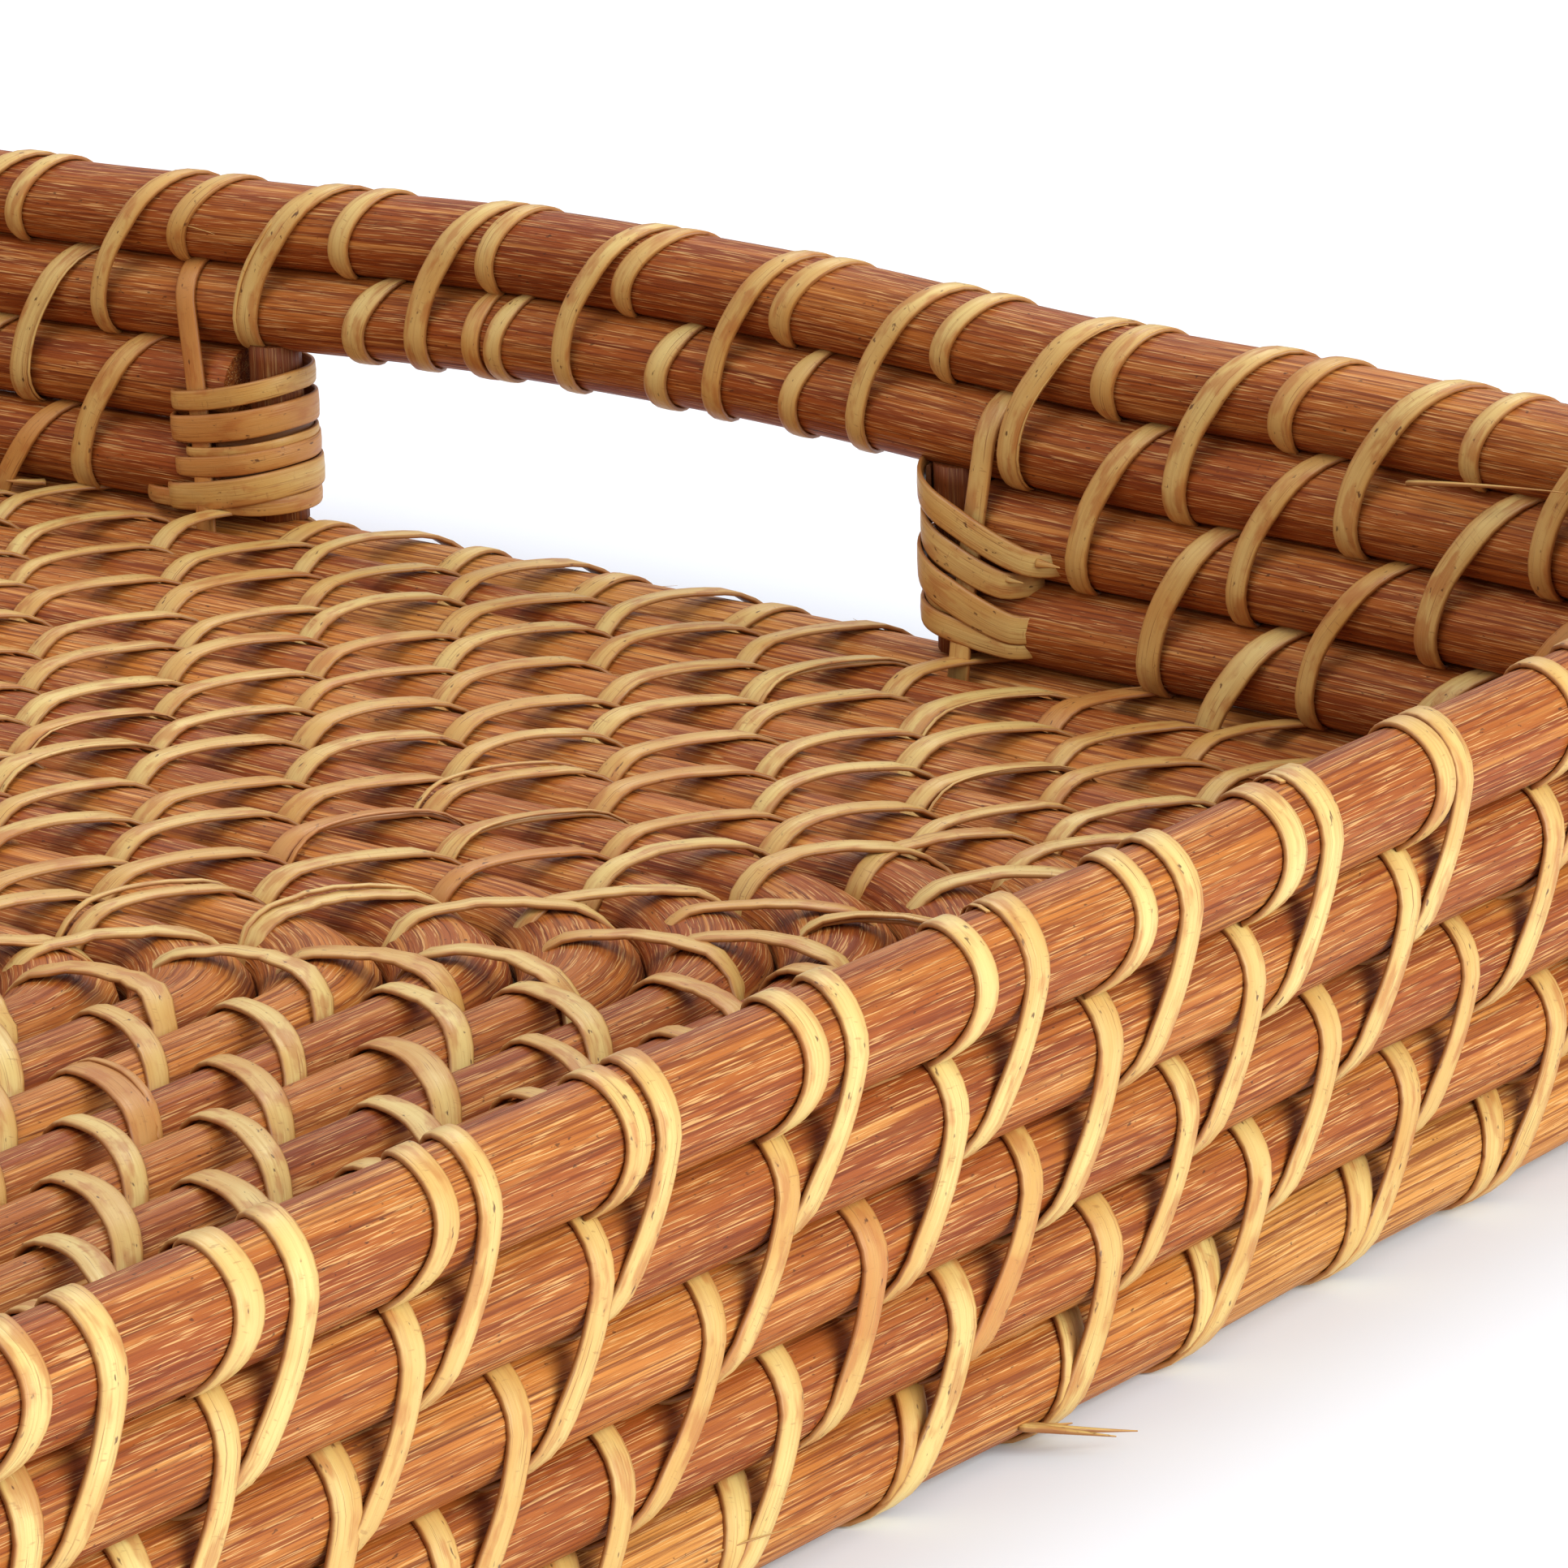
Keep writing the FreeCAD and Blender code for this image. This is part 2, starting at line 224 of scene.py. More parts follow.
def wave(places, length, amount, wavelengths, source=random):
    """A smooth random wave that closes on itself after the given length."""
    total = np.zeros(len(places))
    for wavelength in wavelengths:
        cycles = max(1, round(length / wavelength))
        phase = source.uniform(0, TAU)
        total += np.sin(TAU * cycles * places / length + phase)
    return total * amount / len(wavelengths)


class Line:
    """A rod's centre line as closely spaced points, with the distance along it."""

    def __init__(self, points, closed=False, radius=ROD_RADIUS, tone=None):
        self.points = points
        self.closed = closed
        self.radius = radius
        self.tone = random.uniform(0.1, 0.85) if tone is None else tone
        steps = np.linalg.norm(np.diff(points, axis=0), axis=1)
        self.stations = np.concatenate([[0.0], np.cumsum(steps)])
        self.length = self.stations[-1]
        self.tree = KDTree(len(points))
        for number, point in enumerate(points):
            self.tree.insert(point, number)
        self.tree.balance()
        self.directions = self.tangent(self.stations)

    def at(self, stations):
        if self.closed:
            stations = np.mod(stations, self.length)
        columns = [np.interp(stations, self.stations, self.points[:, n]) for n in range(3)]
        return np.stack(columns, axis=-1)

    def tangent(self, stations):
        reach = 2 * LINE_STEP
        return unit(self.at(stations + reach) - self.at(stations - reach))

    def nearest(self, places):
        """The line's nearest points to the places, and their stations."""
        index = np.array([self.tree.find(place)[1] for place in places])
        beyond = np.sum((places - self.points[index]) * self.directions[index], axis=1)
        near = self.points[index] + beyond[:, None] * self.directions[index]
        return near, self.stations[index] + beyond


def line_of(arcs, height, closed=False, source=random, radius=ROD_RADIUS):
    """The arcs as a centre line that strays a little, as a bent rod does.

    Lines given sources with one seed stray together, as stacked courses do.
    """
    runs = [arcs[0].points()] + [arc.points()[1:] for arc in arcs[1:]]
    plan = np.concatenate(runs)
    steps = np.linalg.norm(np.diff(plan, axis=0), axis=1)
    stations = np.concatenate([[0.0], np.cumsum(steps)])
    length = stations[-1]
    ahead = unit(np.gradient(plan, axis=0))
    outward = np.stack([ahead[:, 1], -ahead[:, 0]], axis=1)
    stray = wave(stations, length, ROD_STRAY, (0.31, 0.13, 0.06), source)
    rise = wave(stations, length, ROD_RISE, (0.27, 0.11, 0.05), source)
    plan = plan + outward * stray[:, None]
    z = np.full(len(plan), height) + rise
    points = np.concatenate([plan, z[:, None]], axis=1)
    if closed:
        points[-1] = points[0]
    return Line(points, closed, radius)


def arched(line, rise):
    """The line with a slight rise over each hand-hold."""
    points = line.points.copy()
    near = np.clip(np.abs(points[:, 1]) / RAIL_ARCH_REACH, 0, 1)
    at_end = np.abs(points[:, 0]) > CORE_HALF_LENGTH + BASE_PITCH
    points[:, 2] += np.where(at_end, rise * np.cos(near * math.pi / 2) ** 2, 0)
    return Line(points, line.closed, line.radius)


def tail_room(points, turn_start, hoop):
    """Where the last turn's end lies between its own start and the foot hoop."""
    inside, _ = turn_start.nearest(points)
    outside, _ = hoop.nearest(points)
    apart = np.linalg.norm(outside - inside, axis=1)
    room = np.clip((apart - 2 * ROD_RADIUS) / 2, TAIL_LEAST_ROOM, ROD_RADIUS)
    place = inside + (outside - inside) * ((ROD_RADIUS + room) / apart)[:, None]
    return place, room


# Swept meshes

class Sweep:
    """Collects swept parts into one mesh, with the attributes its material reads."""

    def __init__(self):
        self.rings = []

    def add(self, rings, grain, tone, edge):
        """rings is [ring, point, xyz]; grain has the same shape, tone and edge no xyz."""
        self.rings.append((rings, grain, tone, edge))

    def mesh_arrays(self):
        corners, starts, totals = [], [], []
        offset = 0
        loops = 0
        for rings, _, _, _ in self.rings:
            count, sides = rings.shape[:2]
            index = offset + np.arange(count * sides).reshape(count, sides)
            following = np.roll(index, -1, axis=1)
            quads = np.stack([index[:-1], following[:-1], following[1:], index[1:]], axis=-1)
            quads = quads.reshape(-1, 4)
            corners.append(quads.ravel())
            starts.append(loops + 4 * np.arange(len(quads)))
            totals.append(np.full(len(quads), 4))
            loops += quads.size
            for cap in (index[0][::-1], index[-1]):
                corners.append(cap)
                starts.append(np.array([loops]))
                totals.append(np.array([sides]))
                loops += sides
            offset += count * sides
        return np.concatenate(corners), np.concatenate(starts), np.concatenate(totals)

    def build(self, name, material):
        corners, starts, totals = self.mesh_arrays()
        places = np.concatenate([part[0].reshape(-1, 3) for part in self.rings])
        mesh = bpy.data.meshes.new(name)
        mesh.vertices.add(len(places))
        mesh.vertices.foreach_set("co", places.astype(np.float32).ravel())
        mesh.loops.add(len(corners))
        mesh.loops.foreach_set("vertex_index", corners.astype(np.int32))
        mesh.polygons.add(len(starts))
        mesh.polygons.foreach_set("loop_start", starts.astype(np.int32))
        mesh.polygons.foreach_set("loop_total", totals.astype(np.int32))
        mesh.update(calc_edges=True)
        mesh.validate()
        mesh.polygons.foreach_set("use_smooth", totals == 4)
        grain = np.concatenate([part[1].reshape(-1, 3) for part in self.rings])
        mesh.attributes.new("grain", "FLOAT_VECTOR", "POINT").data.foreach_set(
            "vector", grain.astype(np.float32).ravel())
        for title, slot in (("tone", 2), ("edge", 3)):
            values = np.concatenate([part[slot].ravel() for part in self.rings])
            mesh.attributes.new(title, "FLOAT", "POINT").data.foreach_set(
                "value", values.astype(np.float32))
        mesh.materials.append(material)
        piece = bpy.data.objects.new(name, mesh)
        bpy.context.scene.collection.objects.link(piece)
        return piece


def stand_for(sweep, node, material, slot):
    """Makes the swept parts into the piece that stands for one CAD node."""
    piece = sweep.build(slot.split("_")[0] + "_" + node, material)
    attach(piece, "root")
    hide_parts(node)
    return piece


# Rods

def add_rod(sweep, line, start, end, taper=None, spread=0.0):
    """A peeled rattan rod along the line between two stations.

    Where it bends round a corner it lies broader by the given portion.
    """
    count = max(6, round((end - start) / ROD_STEP))
    stations = np.linspace(start, end, count)
    centre = line.at(stations)
    ahead = line.tangent(stations)
    if taper is None:
        scale = np.ones(count)
    else:
        centre, scale = taper(centre)
    add_round(sweep, centre, ahead, stations, scale, line.radius, ROD_SIDES, line.tone,
              spread)


def add_round(sweep, centre, ahead, stations, scale, radius, sides, tone, spread=0.0):
    """A round, slightly uneven body with the grain running along it."""
    length = max(line_span(stations), 0.02)
    up = np.broadcast_to(np.array([0.0, 0.0, 1.0]), ahead.shape)
    across = np.cross(ahead, up)
    short = np.linalg.norm(across, axis=1) < 0.1
    across[short] = np.array([1.0, 0.0, 0.0])
    across = unit(across)
    lift = np.cross(across, ahead)
    angles = np.arange(sides) * TAU / sides
    around_phase = random.uniform(0, TAU, 3)
    swell = 1 + wave(stations, length, 0.022, (0.21, 0.09, 0.043))
    oval = wave(stations, length, 0.018, (0.35, 0.12))
    facets = 0.006 * np.sin(5 * angles + around_phase[0])
    facets = facets + 0.004 * np.sin(8 * angles + around_phase[1])
    reach = swell[:, None] * (1 + oval[:, None] * np.cos(2 * angles + around_phase[2]) + facets)
    reach = reach * (radius * scale)[:, None]
    cosine, sine = np.cos(angles), np.sin(angles)
    broad = 1 + spread * (2 * ahead[:, 0] * ahead[:, 1]) ** 2
    rings = (centre[:, None, :] + reach[:, :, None] *
             ((across * broad[:, None])[:, None, :] * cosine[:, None] +
              lift[:, None, :] * sine[:, None]))
    grain = np.empty(rings.shape)
    grain[..., 0] = reach * cosine
    grain[..., 1] = reach * sine
    grain[..., 2] = stations[:, None]
    grain += random.uniform(0, 5, 3)
    shades = tone + wave(stations, length, 0.25, (0.19, 0.08))
    tones = np.repeat(np.clip(shades, min(tone, 0), 1)[:, None], sides, axis=1)
    sweep.add(rings, grain, tones, np.zeros(tones.shape))


def line_span(stations):
    return float(stations[-1] - stations[0])


# Splints

SPLINT_PROFILE = np.array([(-1.0, 0.20), (-0.97, 0.82), (-0.80, 0.98), (0.0, 1.08),
                           (0.80, 0.98), (0.97, 0.82), (1.0, 0.20), (0.85, 0.0), (-0.85, 0.0)])
# How far towards its edge each profile point lies: the material keeps the crown pale, partly as
# a painted highlight, and darkens the cut edges.
SPLINT_EDGE = np.array([1.0, 0.8, 0.4, 0.0, 0.4, 0.8, 1.0, 0.9, 0.9])


def add_splint(sweep, path, normals, width, thickness, tone):
    """A flat, slightly crowned splint along the path, its face towards the normals."""
    steps = np.linalg.norm(np.diff(path, axis=0), axis=1)
    stations = np.concatenate([[0.0], np.cumsum(steps)])
    ahead = unit(np.gradient(path, axis=0))
    across = unit(np.cross(ahead, normals))
    face = np.cross(across, ahead)
    side_reach = SPLINT_PROFILE[:, 0] * width[:, None] / 2
    height = SPLINT_PROFILE[:, 1] * thickness[:, None]
    rings = (path[:, None, :] + across[:, None, :] * side_reach[:, :, None] +
             face[:, None, :] * height[:, :, None])
    rings[..., 2] = np.maximum(rings[..., 2], FLOOR_CLEARANCE)
    grain = np.empty(rings.shape)
    grain[..., 0] = side_reach
    grain[..., 1] = height
    grain[..., 2] = stations[:, None]
    grain += random.uniform(0, 5, 3)
    tones = np.repeat(tone[:, None], len(SPLINT_PROFILE), axis=1)
    edges = np.repeat(SPLINT_EDGE[None, :], len(path), axis=0)
    sweep.add(rings, grain, tones, edges)


def loop_path(rod_a, rod_b, ahead, turns, radius):
    """Places and normals on a loop round two rods.

    A whole number of turns is the outermost point of rod b. From there the loop runs
    over the face side to rod a, half a turn on, and back behind both rods.
    """
    between = rod_b - rod_a
    apart = np.linalg.norm(between, axis=1)
    outward = np.where(apart[:, None] > 1e-6, between, np.array([0.0, 0.0, 1.0]))
    outward = unit(outward - ahead * np.sum(outward * ahead, axis=1)[:, None])
    face = np.cross(outward, ahead)
    portion = np.mod(turns, 1.0)
    front = portion < 0.5
    half = np.where(front, portion, 1.0 - portion)
    bend = radius * math.pi / 2
    travel = half * 2 * (apart + 2 * bend)
    angle_b = np.clip(travel / radius, 0, math.pi / 2)
    crossing = np.clip(travel - bend, 0, apart)
    angle_a = np.clip((travel - bend - apart) / radius, 0, math.pi / 2)
    angle = angle_b + angle_a
    out = apart - crossing + radius * np.cos(angle)
    proud = radius * np.sin(angle) * np.where(front, 1, -1)
    normal_out = np.cos(angle)
    normal_face = np.sin(angle) * np.where(front, 1, -1)
    path = rod_a + outward * out[:, None] + face * proud[:, None]
    normals = outward * normal_out[:, None] + face * normal_face[:, None]
    return path, normals


def smooth_through(knots, values, places):
    """Values at places on a smooth curve through evenly spaced knots."""
    slope = np.gradient(values, knots)
    index = np.clip(np.searchsorted(knots, places) - 1, 0, len(knots) - 2)
    width = knots[index + 1] - knots[index]
    t = (places - knots[index]) / width
    start = (1 + 2 * t) * (1 - t) ** 2 * values[index] + t * (1 - t) ** 2 * width * slope[index]
    end = (t * t * (3 - 2 * t) * values[index + 1] +
           t * t * (t - 1) * width * slope[index + 1])
    return start + end


SWAY = 0.62
SWAY_START = 0.13


def sway(turns):
    """How far a stitch runs ahead of an even helix, in turns.

    It bends most as it comes over a rod, and lies square to the rods before a crease.
    """
    def raw(values):
        return np.sin(2 * TAU * (values - SWAY_START))
    return SWAY / (2 * TAU) * (raw(turns) - raw(0.25))


STITCH_JITTER = 1.0 * MM
SPLIT_SHARE = 0.13
LEAST_SLACK = 0.18 * MM
EXTRA_SLACK = 0.85 * MM


def stitch_look(turns, count):
    """Width, tone and slack along a run of stitches, each stitch with its own."""
    knots = np.arange(-1, count + 2) + 0.25
    widths = random.uniform(0.80, 1.18, len(knots))
    tones = np.clip(random.normal(0.45, 0.24, len(knots)), 0, 1)
    slacks = LEAST_SLACK + random.uniform(0, 1, len(knots)) ** 2 * EXTRA_SLACK
    width = SPLINT_WIDTH * smooth_through(knots, widths, turns)
    nearest = np.clip(np.round(turns - 0.25).astype(int) + 1, 0, len(knots) - 1)
    tone = 0.7 * tones[nearest] + 0.3 * np.interp(turns, knots, tones)
    slack = slacks[nearest] * np.sin(TAU * turns).clip(0, 1) ** 2
    return width, tone, slack


def wind(sweep, outer, inner, stations, inner_start=None):
    """One splint wound round two rods, with a stitch at each station.

    A turn of the spiral starts where the one inside it ends. Near there its neighbour
    is the start of that turn, given as inner_start.
    """
    reach = max(outer.radius, inner.radius) + SPLINT_GAP
    count = len(stations)
    if count == 0:
        return
    most = 2 * STITCH_JITTER
    held = stations + random.normal(0, STITCH_JITTER, count).clip(-most, most)
    lead = np.array([held[0] - STITCH_SPACING])
    rest = np.array([held[-1] + STITCH_SPACING])
    values = np.concatenate([lead, held, rest])
    knots = np.arange(-1, count + 1) + 0.25
    turns = np.linspace(0.0, count, count * STITCH_SAMPLES + 1)
    gaps = np.interp(turns, knots[:-1] + 0.5, np.diff(values))
    along = smooth_through(knots, values, turns) + sway(turns) * gaps
    if not outer.closed:
        first = 0.2 * MM if inner_start else BASE_PITCH
        along = np.clip(along, first, outer.length - 0.2 * MM)
    rod_b = outer.at(along)
    ahead = outer.tangent(along)
    rod_a, _ = inner.nearest(rod_b)
    early = along < SEAM_REACH
    if inner_start and early.any():
        rod_a[early] = inner_start.nearest(rod_b[early])[0]
    width, tone, slack = stitch_look(turns, count)
    path, normals = loop_path(rod_a, rod_b, ahead, turns, reach)
    path = path + normals * slack[:, None]
    thickness = np.full(len(turns), SPLINT_THICKNESS)
    add_splint(sweep, path, normals, width, thickness, tone)
    for number in np.flatnonzero(random.uniform(0, 1, count) < SPLIT_SHARE):
        first = number * STITCH_SAMPLES
        part = slice(first, first + STITCH_SAMPLES // 2 + 1)
        add_strand(sweep, path[part], normals[part], ahead[part], tone[part])


def add_strand(sweep, path, normals, ahead, tone):
    """A thin strand split off the edge of a stitch, standing a little proud of it."""
    offset = random.choice((-1, 1)) * SPLINT_WIDTH * random.uniform(0.45, 0.75)
    lift = np.sin(np.linspace(0, math.pi, len(path))) * random.uniform(0.1, 0.8) * MM
    strand = path + ahead * offset + normals * lift[:, None]
    width = np.full(len(path), random.uniform(0.3, 0.8) * MM)
    add_splint(sweep, strand, normals, width, width * 0.4, tone)


def wrap_one(sweep, line, station, first, last, advance):
    """A short wrap round one rod, between two points of its turn."""
    reach = line.radius + SPLINT_GAP
    turns = np.linspace(first, last, STITCH_SAMPLES)
    along = station + advance * (turns - 0.5 * (first + last) + sway(turns))
    centre = line.at(along)
    ahead = line.tangent(along)
    path, normals = loop_path(centre, centre, ahead, turns, reach)
    tone = np.full(len(turns), np.clip(random.normal(0.45, 0.24), 0, 1))
    ends = np.minimum(turns - first, last - turns) / (last - first)
    width = SPLINT_WIDTH * random.uniform(0.84, 1.1) * (0.55 + 0.45 * np.clip(ends / 0.12, 0, 1))
    add_splint(sweep, path, normals, width, np.full(len(turns), SPLINT_THICKNESS), tone)


def band_stations(node, line, reach):
    """Stations along the line of the middles of the CAD node's bands."""
    found = []
    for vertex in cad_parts[node].data.vertices:
        _, number, distance = line.tree.find(vertex.co)
        if distance < reach:
            found.append(line.stations[number])
    found = np.sort(np.array(found))
    breaks = np.flatnonzero(np.diff(found) > 1.6 * SPLINT_WIDTH) + 1
    return np.array([0.5 * (group[0] + group[-1]) for group in np.split(found, breaks)])


def runs_of(stations):
    """The stations parted where the row is interrupted."""
    breaks = np.flatnonzero(np.diff(stations) > 2.1 * STITCH_SPACING) + 1
    return np.split(stations, breaks)


# Ends of the hand-holds

def wall_reach(step, y):
    """How far out the end wall's course lies at a distance y from the middle."""
    centre, radius = side(END_PLUS, FOOT_HALF_WIDTH + step * WALL_LEAN)
    return centre[0] + math.sqrt(radius * radius - y * y)


TUCK_DEPTH = 3.2 * MM
TUCK_START = 0.72


def add_band(sweep, end, flank, crown, inside, outside, reach, layer, broad, shade, first=-1):
    """One band round a hand-hold's end: heights at its crown and at its two ends.

    It runs from first to 1, where -1 is its inner end, 0 its crown and 1 its outer end.
    """
    t = np.linspace(first, 1, 61)
    radius = COURSE_RADIUS + SPLINT_THICKNESS * (1.2 + layer) + 0.15 * MM
    near = HAND_HOLD_HALF_WIDTH + COURSE_RADIUS + SPLINT_THICKNESS * 1.7 + 0.15 * MM
    bend = radius * math.pi / 2
    straight = reach - radius
    travel = np.abs(t) * (bend + straight)
    angle = np.clip(travel / radius, 0, math.pi / 2)
    back = np.clip(travel - bend, 0, straight)
    side_sign = np.sign(t)
    tuck = TUCK_DEPTH * np.clip((back / straight - TUCK_START) / (1 - TUCK_START), 0, 1) ** 2
    y = near - radius * np.cos(angle) + back
    out = side_sign * (radius * np.sin(angle) - tuck)
    ends = np.where(t < 0, inside, outside)
    z = crown + (ends - crown) * (1 - np.cos(np.abs(t) ** 0.85 * math.pi)) / 2
    x = wall_reach(1.5, near)
    path = np.stack([end * (x + out), flank * y, z], axis=1)
    normals = np.stack([end * side_sign * np.sin(angle), -flank * np.cos(angle),
                        np.zeros(len(t))], axis=1)
    width = broad * random.uniform(0.92, 1.08) * (1 - 0.3 * np.abs(t) ** 8)
    tone = np.full(len(t), shade)
    add_splint(sweep, path, normals, width, np.full(len(t), SPLINT_THICKNESS), tone)


def add_strap(sweep, lines, end, flank, y, lean, first, last, layer):
    """An upright strap round the courses from the foot to the rail."""
    turns = np.linspace(first, last, 2 * STITCH_SAMPLES)
    place = np.array([[end * wall_reach(1, y), flank * y, course_height(1)]])
    foot_station = lines[0].nearest(place)[1][0]
    rail_station = lines[3].nearest(place)[1][0]
    shift = lean * (turns - 0.25 + sway(turns))
    rod_a = lines[0].at(foot_station + shift)
    rod_b = lines[3].at(rail_station + shift)
    ahead = lines[3].tangent(rail_station + shift)
    reach = RIM_RADIUS + SPLINT_GAP + SPLINT_THICKNESS * layer
    path, normals = loop_path(rod_a, rod_b, ahead, turns, reach)
    tone = np.full(len(turns), np.clip(random.normal(0.75, 0.15), 0, 1))
    width = np.full(len(turns), SPLINT_WIDTH * random.uniform(0.9, 1.1))
    add_splint(sweep, path, normals, width, np.full(len(turns), SPLINT_THICKNESS), tone)


# The strap beside each hand-hold: how far from the opening it stands and how far it
# leans along the wall in one turn, both in mm.
FANNED_STRAP = (7.4, 5)
STACKED_STRAP = (9.6, -8)
STRAP_LAYER = 0.2

# The bands. Each has, in mm: its height over the lowest one at the crown and at its
# inner end, its reach along the wall, how many splints it lies over, and its width.
# The inner bands and the filler are strips behind the others, coloured in painted
# shade: they stop the light between the post and the cut ends of the courses and
# stand for the shadow in those gaps.
FANNED_TONE = 0.42
STACKED_TONE = 0.90
BAND_TONE_SPREAD = 0.15
# Painted shade: the tone of the dark strips behind the bands.
PAINTED_SHADE_TONE = 1.5
INNER_LAYER = -0.7
INNER_BANDS = ((8.8, 8.8, 7.2, INNER_LAYER, 3.4), (5.6, 5.6, 7.6, INNER_LAYER, 3.4),
               (2.4, 2.4, 7.2, INNER_LAYER, 3.4))
FILLER_HEIGHT = 15.2 * MM
FILLER_REACH = 12 * MM
FILLER_WIDTH = 3.2 * MM
FILLER_START = -0.15
FANNED_BANDS = ((5.6, 3.0, 12.0, 0.0, 2.0), (16.3, 9.6, 19.0, 1.0, 3.1),
                (12.2, 7.6, 14.5, 0.5, 3.0), (8.6, 2.8, 16.5, 1.4, 3.3),
                (3.2, 0.6, 16.0, 1.0, 2.6))
STACKED_BANDS = ((13.6, 10.6, 15.2, 0.4, 2.2), (10.2, 7.4, 15.5, 0.8, 2.9),
                 (7.4, 4.9, 13.0, 0.5, 1.1), (6.0, 3.6, 15.0, 0.9, 2.1),
                 (3.2, 0.6, 16.5, 1.3, 3.1), (0.5, 0.0, 20.0, 0.5, 2.0))
FRAYED_ENDS = ((16.6, 11.6, 3.6, 0.8), (12.4, 9.4, 3.0, 0.6))


def add_binding(sweep, lines, end, flank, fanned):
    """The strap and bands that close one end of a hand-hold."""
    beside, lean = FANNED_STRAP if fanned else STACKED_STRAP
    strap_y = HAND_HOLD_HALF_WIDTH + beside * MM
    add_strap(sweep, lines, end, flank, strap_y, lean * MM, 0.0, 1.0, STRAP_LAYER)
    low = course_height(0) + WRAP_RADIUS + SPLINT_WIDTH * 0.6
    bands = FANNED_BANDS if fanned else STACKED_BANDS
    usual_tone = FANNED_TONE if fanned else STACKED_TONE
    for crown, inner_end, reach, layer, broad in INNER_BANDS + bands:
        inside = low + inner_end * MM + random.normal(0, 0.25 * MM)
        outside = low + crown * MM + random.normal(0, 0.7 * MM)
        # The inner bands take the painted shade tone.
        if layer < 0:
            shade = PAINTED_SHADE_TONE
        else:
            shade = np.clip(random.normal(usual_tone, BAND_TONE_SPREAD), 0, 1)
        add_band(sweep, end, flank, low + crown * MM, inside, outside,
                 reach * MM, layer, broad * MM, shade)
    # The filler is a strip of painted shade under the rail on the fanned side.
    if fanned:
        height = low + FILLER_HEIGHT
        add_band(sweep, end, flank, height, height, height, FILLER_REACH, INNER_LAYER,
                 FILLER_WIDTH, PAINTED_SHADE_TONE, FILLER_START)


def add_frayed_ends(sweep, end, flank):
    """Fibres split off the ends of two of the fanned bands, inside the basket.

    Each has, in mm: how far it starts from the opening, its height over the lowest
    band, its length and its width.
    """
    low = course_height(0) + WRAP_RADIUS
    for reach, height, length, broad in FRAYED_ENDS:
        y = HAND_HOLD_HALF_WIDTH + reach * MM
        x = wall_reach(1.5, y) - COURSE_RADIUS - SPLINT_THICKNESS
        start = np.array([end * x, flank * y, low + height * MM])
        lean = unit(np.array([-0.2 * end, 0.9 * flank, random.uniform(-0.1, 0.3)]))
        curl = np.array([-0.12 * end, 0.0, random.uniform(-0.15, 0.15)])
        add_fibre(sweep, start, lean, curl, length * MM, broad * MM, (-end, 0.0, 0.3))


POST_INTO_FOOT = 0.5 * MM
POST_INTO_RAIL = 2.4 * MM


def add_post(sweep, node):
    """The short upright rattan that closes one end of a hand-hold."""
    low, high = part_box(node)
    count = 12
    z = np.linspace(low.z - POST_INTO_FOOT, high.z + POST_INTO_RAIL, count)
    centre = np.stack([np.full(count, (low.x + high.x) / 2),
                       np.full(count, (low.y + high.y) / 2), z], axis=1)
    ahead = np.tile(np.array([0.0, 0.0, 1.0]), (count, 1))
    radius = (high.x - low.x) / 2
    add_round(sweep, centre, ahead, z, np.ones(count), radius, POST_SIDES, POST_TONE)


# Loose fibres and splint ends

def add_fibre(sweep, start, direction, bend, length, thick, face=(0.0, 0.0, 1.0)):
    """A thin curved hair of splint that has split off, its flat side towards face."""
    t = np.linspace(0, 1, 14)
    path = start + length * (t[:, None] * direction + (t ** 2)[:, None] * bend)
    normals = np.tile(np.array(face), (len(t), 1))
    width = thick * (1.15 - t)
    tone = np.full(len(t), random.uniform(0.2, 0.8))
    thickness = np.minimum(width * 0.6, SPLINT_THICKNESS)
    add_splint(sweep, path, normals, width, thickness, tone)


HAIRS_PER_COURSE = 22
ENDS_PER_COURSE = 9


def add_loose_ends(sweep, lines):
    """Hairs along the wall courses, and the ends of splints that stand out of creases."""
    for step in range(5):
        line = lines[step]
        for station in random.uniform(0, line.length, HAIRS_PER_COURSE):
            place = line.at(np.array([station]))[0]
            if step in (1, 2) and abs(place[1]) < COURSE_CUT + 4 * MM:
                continue
            ahead = line.tangent(np.array([station]))[0] * random.choice((-1, 1))
            outward = np.array([ahead[1], -ahead[0], 0.0]) * random.choice((-1, 1))
            angle = random.uniform(-0.1 if step == 0 else -0.9, 0.9)
            away = outward * math.cos(angle) + np.array([0, 0, math.sin(angle)])
            bend = away * random.uniform(0.05, 0.25)
            length = random.uniform(3, 11) * MM
            start = place + away * ROD_RADIUS * 0.99
            add_fibre(sweep, start, unit(ahead + 0.12 * away), bend, length, 0.22 * MM)
    for step in (1, 2, 3):
        line = lines[step]
        for station in random.uniform(0, line.length, ENDS_PER_COURSE):
            place = line.at(np.array([station]))[0]
            if abs(place[1]) < COURSE_CUT + 6 * MM:
                continue
            ahead = line.tangent(np.array([station]))[0]
            inward = np.array([-ahead[1], ahead[0], 0.0])
            start = place + inward * ROD_RADIUS * 0.7 - np.array([0, 0, WALL_PITCH / 2])
            lean = unit(ahead * random.uniform(0.2, 0.9) + inward)
            add_fibre(sweep, start, lean, np.array([0, 0, 0.15]), 4.2 * MM, 1.5 * MM)
    add_foot_stub(sweep, lines[0])
    add_long_hair(sweep)


FOOT_STUB_X = 66 * MM
LONG_HAIR_Y = -104 * MM


